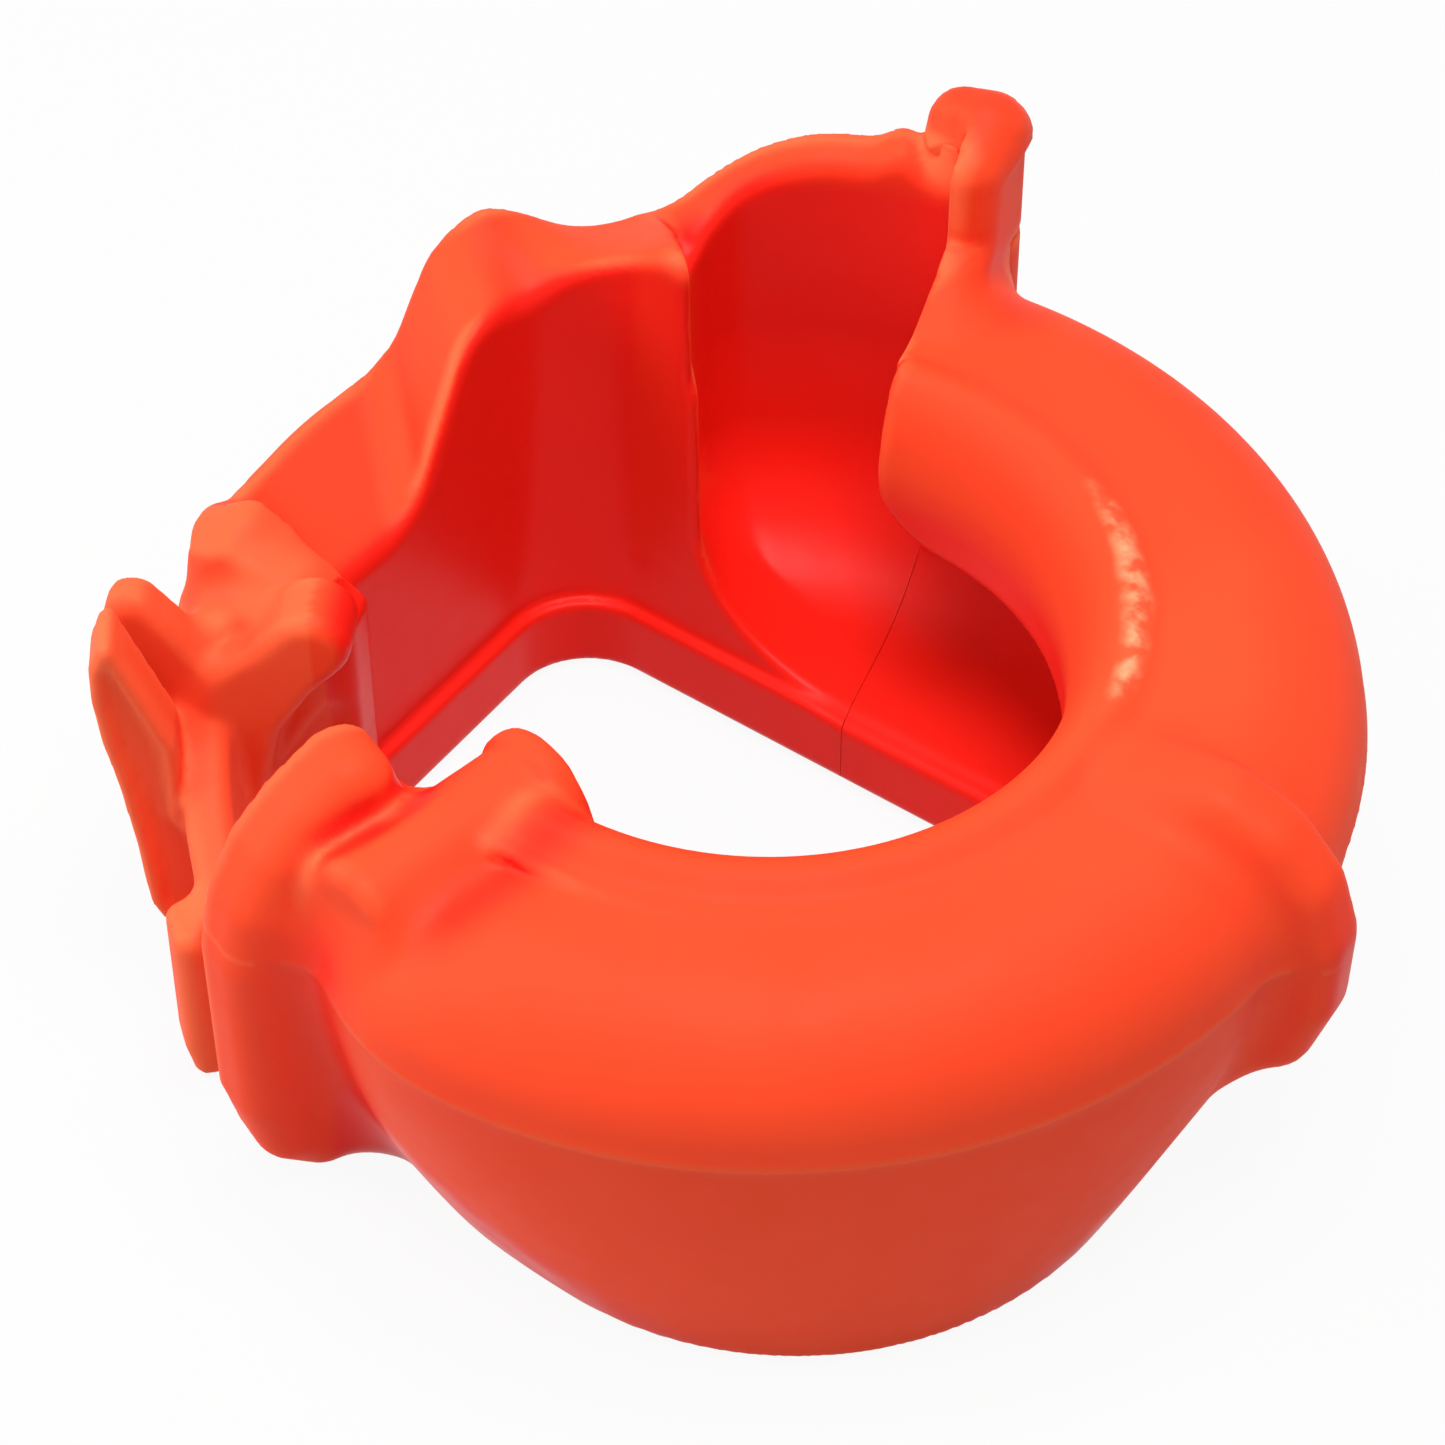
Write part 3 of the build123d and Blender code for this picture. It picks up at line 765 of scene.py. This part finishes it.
def painted_valley_shade(place, inward):
    """Painted shade of the front half: a deeper red in the valley beside the closing plate, and beside the bar.
    """
    past, out = place.round(FRONT_END), place.out(BAR_ANGLE)
    outside = (inward < 0.5) * ramp(place.out(FRONT_END), 20, 10)
    by_plate = 0.8 * swell(past, 8, 4.5) * ramp(-place.z, -10, 6) * outside
    along_bar = ramp(out, 27, 3) * ramp(-out, -50, 6) * ramp(place.z, 3, 4)
    by_bar = 0.75 * swell(place.round(BAR_ANGLE), 7.6, 2.8) * along_bar
    return np.maximum(by_plate, by_bar)


def shade(piece, form):
    """Smooth normals, and marks from 0 to 1 on each point of a piece: painted shade in its hollows and creases,
    painted highlight on its thin edges, and wear.
    """
    mesh = piece.data
    points = mesh_values(mesh.vertices, "co", np.float32, 3) / MM
    normals = form.slope(points)
    smooth(mesh, normals)
    place = Place(*points.T)
    turn, height, is_front = place.turn(), place.z, piece.name in FRONT_NODES
    inward = -(normals[:, 0] * place.x + normals[:, 1] * place.y) / np.maximum(place.r, 1)

    # Painted shade: a deeper red on inward faces, on the low floor inside, and in creases where the surface
    # comes close again along the normal.
    painted_shade = ramp(inward, 0.1, 0.6) * ramp((6 if is_front else 24) - height, 0, 5)
    floor = ramp(-height, 9, 7) * ramp(-place.r, -50, 2)
    near = form.sample(form.field, points + 4 * normals) / 4
    wide = form.sample(form.field, points + 10 * normals) / 10
    crease = ramp(-near, -0.9, 0.7) + 0.6 * ramp(-wide, -0.9, 0.7)
    # The closing lobes, lit from the side, get little painted shade, and below a painted highlight.
    closing = (turn > REAR_END - 6) & (turn < FOOT_ANGLE + 6) & (place.r > 41)
    painted_shade = np.clip(np.maximum(np.maximum(painted_shade, floor), crease), 0, 1) * np.where(closing, 0.25, 1)
    if is_front:
        painted_shade = np.maximum(painted_shade * np.where(height > 20, 0.3, 1), painted_valley_shade(place, inward))

    # Painted highlight: paler on thin edges, along the parting ridge and over the closing lobes.
    thin = np.clip(1 + form.sample(form.field, points - 1.6 * normals) / 1.6, 0, 1)
    parting = 0.55 * ramp(-np.abs(height - SEAM), -0.4, 0.4) * (inward < -0.6)
    edge = np.clip(thin * 2.2 * (1 - painted_shade) + parting + 0.6 * closing, 0, 1)

    middle = np.clip(1 - np.abs((turn - 36) / 27), 0, 1)
    crescent = np.clip(1 - np.abs(place.r - 32.7) / (0.5 + 1.4 * np.sqrt(middle)), 0, 1)
    worn = np.clip(middle * 3, 0, 1) * crescent * (height > 8)

    for name, values in (("painted_shade", painted_shade), ("edge", edge), ("worn", worn)):
        mark = mesh.attributes.new(name, "FLOAT", "POINT")
        mark.data.foreach_set("value", values.astype(np.float32))


def split(form, side, cuts, last):
    """Meshes a half, cuts its pieces off in turn, and shades them; the last one is what remains."""
    rest = hinge_cut(form, side)
    pieces = {}
    for name, tool in cuts:
        pieces[name], rest = cut_off(rest, name, tool())
    rest.name = last
    pieces[last] = rest
    for piece in pieces.values():
        shade(piece, form)
    return pieces


def build_front():
    return split(front_form(), 1, [
        ("front_key", key_tool),
        ("collar", lambda: disc(COLLAR - 0.15, -8, 40)),
        ("upper_front", upper_tool),
    ], "lower_front")


def build_rear():
    return split(rear_form(), -1, [
        ("leaf_lug", lug_tool),
        ("foot", lambda: wedge(FOOT_ANGLE - FOOT_HALF, FOOT_ANGLE + 20)),
        ("tongue", lambda: wedge(REAR_PLATE + 3.2, FOOT_ANGLE - FOOT_HALF, bottom=-19)),
        ("rear_key", key_tool),
        ("block", lambda: wedge(CORE_ANGLE - 4, REAR_END + 0.4, bottom=-22, radius=48.8)),
        ("upper_rear", upper_tool),
    ], "lower_rear")


# ---- node helpers ----
def new_tree(owner):
    """Node tree of a new material or world."""
    owner.use_nodes = True
    return owner.node_tree


def attach(tree, value, socket):
    """Puts a number, a colour or another node's output into a socket."""
    if isinstance(value, bpy.types.NodeSocket):
        tree.links.new(value, socket)
    elif isinstance(value, tuple):
        socket.default_value = (*value, 1)
    else:
        socket.default_value = value


def math_node(tree, operation, first, second):
    node = tree.nodes.new("ShaderNodeMath")
    node.operation = operation
    attach(tree, first, node.inputs[0])
    attach(tree, second, node.inputs[1])
    return node.outputs["Value"]


def spread(tree, value, low, high, start=0.0, end=1.0):
    """Carries a value from start..end over to low..high."""
    node = tree.nodes.new("ShaderNodeMapRange")
    for socket, number in zip(("From Min", "From Max", "To Min", "To Max"), (start, end, low, high)):
        node.inputs[socket].default_value = number
    attach(tree, value, node.inputs["Value"])
    return node.outputs["Result"]


def blend(tree, amount, first, second):
    """Mix of two colours."""
    node = tree.nodes.new("ShaderNodeMix")
    node.data_type = "RGBA"
    colours = [socket for socket in node.inputs if socket.type == "RGBA"]
    attach(tree, amount, node.inputs["Factor"])
    attach(tree, first, colours[0])
    attach(tree, second, colours[1])
    return [socket for socket in node.outputs if socket.type == "RGBA"][0]


def noise(tree, vector, scale, detail=2.0):
    node = tree.nodes.new("ShaderNodeTexNoise")
    node.inputs["Scale"].default_value = scale
    node.inputs["Detail"].default_value = detail
    attach(tree, vector, node.inputs["Vector"])
    return node.outputs["Fac"]


def mark_value(tree, attribute):
    node = tree.nodes.new("ShaderNodeAttribute")
    node.attribute_name = attribute
    return node.outputs["Fac"]


def seen_by(tree, *kinds):
    """1 for rays of the given kinds, and 0 for all others."""
    rays = tree.nodes.new("ShaderNodeLightPath")
    value = rays.outputs[kinds[0]]
    for kind in kinds[1:]:
        value = math_node(tree, "MAXIMUM", value, rays.outputs[kind])
    return value


# ---- materials ----
def rubber(name, colour, cloudy, painted_highlight, painted_shade, worn):
    """Satin moulded rubber: cloudy colour, a deeper red painted as shade in its hollows and creases, paler
    painted highlights on thin edges, and pale where it is torn or worn.
    """
    material = bpy.data.materials.new(name)
    tree = new_tree(material)
    shader = tree.nodes["Principled BSDF"]
    shader.inputs["Subsurface Weight"].default_value = 0.05
    shader.inputs["Subsurface Scale"].default_value = 0.003
    shader.inputs["Subsurface Radius"].default_value = (1.0, 0.25, 0.1)
    shader.inputs["IOR"].default_value = 1.45
    shader.inputs["Specular IOR Level"].default_value = 0.12
    place = tree.nodes.new("ShaderNodeTexCoord").outputs["Object"]
    painted_shade_mask = mark_value(tree, "painted_shade")

    clouds = spread(tree, noise(tree, place, 22, 3), 0, 1, start=0.35, end=0.65)
    body = blend(tree, clouds, colour, cloudy)
    # Painted highlight: a paler colour on thin edges, the parting ridge and the closing lobes.
    body = blend(tree, mark_value(tree, "edge"), body, painted_highlight)
    # Painted shade: a deeper red in the hollows and creases. The same mark also lowers the roughness there.
    body = blend(tree, painted_shade_mask, body, painted_shade)
    tears = spread(tree, noise(tree, place, 420, 3), 0.1, 1, start=0.4, end=0.62)
    torn = math_node(tree, "MULTIPLY", mark_value(tree, "worn"), tears)
    attach(tree, blend(tree, torn, body, worn), shader.inputs["Base Color"])

    grain = noise(tree, place, 260, 4)
    gloss = spread(tree, painted_shade_mask, 0, 0.22)
    satin = math_node(tree, "SUBTRACT", spread(tree, grain, 0.48, 0.66), gloss)
    attach(tree, satin, shader.inputs["Roughness"])
    bump = tree.nodes.new("ShaderNodeBump")
    bump.inputs["Strength"].default_value = 0.1
    bump.inputs["Distance"].default_value = 0.0003
    attach(tree, grain, bump.inputs["Height"])
    attach(tree, bump.outputs["Normal"], shader.inputs["Normal"])
    return material


def drawn_steel(name, dark, light):
    """Drawn steel, a little rougher and paler in streaks along the pin."""
    material = bpy.data.materials.new(name)
    tree = new_tree(material)
    shader = tree.nodes["Principled BSDF"]
    shader.inputs["Metallic"].default_value = 1.0
    stretch = tree.nodes.new("ShaderNodeMapping")
    stretch.inputs["Scale"].default_value = (1, 1, 0.05)
    attach(tree, tree.nodes.new("ShaderNodeTexCoord").outputs["Object"], stretch.inputs["Vector"])
    streaks = noise(tree, stretch.outputs["Vector"], 2500)
    attach(tree, spread(tree, streaks, 0.24, 0.42), shader.inputs["Roughness"])
    attach(tree, blend(tree, streaks, dark, light), shader.inputs["Base Color"])
    return material


# Of these colours, the paler orange is a painted highlight, and the darkest red is a painted shade.
moulding = rubber("moulded_orange", colour=(0.9, 0.07, 0.02), cloudy=(0.86, 0.057, 0.016),
                  painted_highlight=(0.93, 0.14, 0.05), painted_shade=(0.84, 0.015, 0.008), worn=(0.95, 0.36, 0.18))
steel = drawn_steel("drawn_steel", dark=(0.50, 0.50, 0.51), light=(0.64, 0.64, 0.66))


def dress(piece, body, replaced, finish):
    """Finish, body and CAD node of one piece."""
    piece.data.materials.clear()
    piece.data.materials.append(finish)
    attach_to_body(piece, body)
    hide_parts(*replaced)


for holder in bpy.data.objects["hinge_pin"].material_slots:
    holder.material = steel

front = build_front()
rear = build_rear()
for name, piece in front.items():
    dress(piece, "front", FRONT_NODES[name], moulding)
for name, piece in rear.items():
    dress(piece, "rear", REAR_NODES[name], moulding)


# ---- stage ----
def floor_material():
    """Pale floor that shows almost white to the camera, and still takes the part's shadow."""
    material = bpy.data.materials.new("pale_floor")
    tree = new_tree(material)
    shader = tree.nodes["Principled BSDF"]
    shader.inputs["Base Color"].default_value = (0.55, 0.55, 0.55, 1)
    shader.inputs["Roughness"].default_value = 0.9
    glow = tree.nodes.new("ShaderNodeEmission")
    glow.inputs["Strength"].default_value = 1.0
    mix = tree.nodes.new("ShaderNodeMixShader")
    share = math_node(tree, "MULTIPLY", seen_by(tree, "Is Camera Ray", "Is Glossy Ray"), 0.93)
    attach(tree, share, mix.inputs["Fac"])
    attach(tree, shader.outputs["BSDF"], mix.inputs[1])
    attach(tree, glow.outputs["Emission"], mix.inputs[2])
    attach(tree, mix.outputs["Shader"], tree.nodes["Material Output"].inputs["Surface"])
    return material


FLOOR_HALF = 3
FLOOR_Z = BASE * MM - 0.0002
floor_mesh = bpy.data.meshes.new("floor")
floor_corners = [(-FLOOR_HALF, -FLOOR_HALF, FLOOR_Z), (FLOOR_HALF, -FLOOR_HALF, FLOOR_Z),
                 (FLOOR_HALF, FLOOR_HALF, FLOOR_Z), (-FLOOR_HALF, FLOOR_HALF, FLOOR_Z)]
floor_mesh.from_pydata(floor_corners, [], [(0, 1, 2, 3)])
floor = linked("floor", floor_mesh)
floor_mesh.materials.append(floor_material())

LIGHT_LEVEL = 0.42
WHITE_LEVEL = 1.0
world = bpy.data.worlds.new("studio")
bpy.context.scene.world = world
sky = new_tree(world)
background = sky.nodes["Background"]
background.inputs["Color"].default_value = (1, 1, 1, 1)
plain = seen_by(sky, "Is Camera Ray", "Is Transmission Ray", "Is Glossy Ray")
attach(sky, spread(sky, plain, LIGHT_LEVEL, WHITE_LEVEL), background.inputs["Strength"])


def soft_light(name, place, size, power):
    """Square softbox that faces the coupling."""
    data = bpy.data.lights.new(name, "AREA")
    data.shape = "SQUARE"
    data.size = size
    data.energy = power
    light = linked(name, data)
    light.location = place
    light.rotation_euler = (-Vector(place)).to_track_quat("-Z", "Y").to_euler()


soft_light("key", (0.05, -0.02, 0.6), size=0.35, power=3.9)
soft_light("fill", (-0.5, -0.35, 0.3), size=0.4, power=2.4)

# ---- camera ----
AIM = Vector((-0.0021, -0.00377, 0))
AZIMUTH = radians(35.72)
ELEVATION = radians(47.15)
DISTANCE = 0.432
back = Vector((sin(AZIMUTH) * cos(ELEVATION), -cos(AZIMUTH) * cos(ELEVATION), sin(ELEVATION)))
camera_data = bpy.data.cameras.new("camera")
camera_data.sensor_width = 36
camera_data.lens = 119.03
camera = linked("camera", camera_data)
camera.location = AIM + DISTANCE * back
camera.rotation_euler = back.to_track_quat("Z", "Y").to_euler()
bpy.context.scene.camera = camera
bpy.context.scene.view_settings.view_transform = "Standard"

bpy.context.view_layer.update()
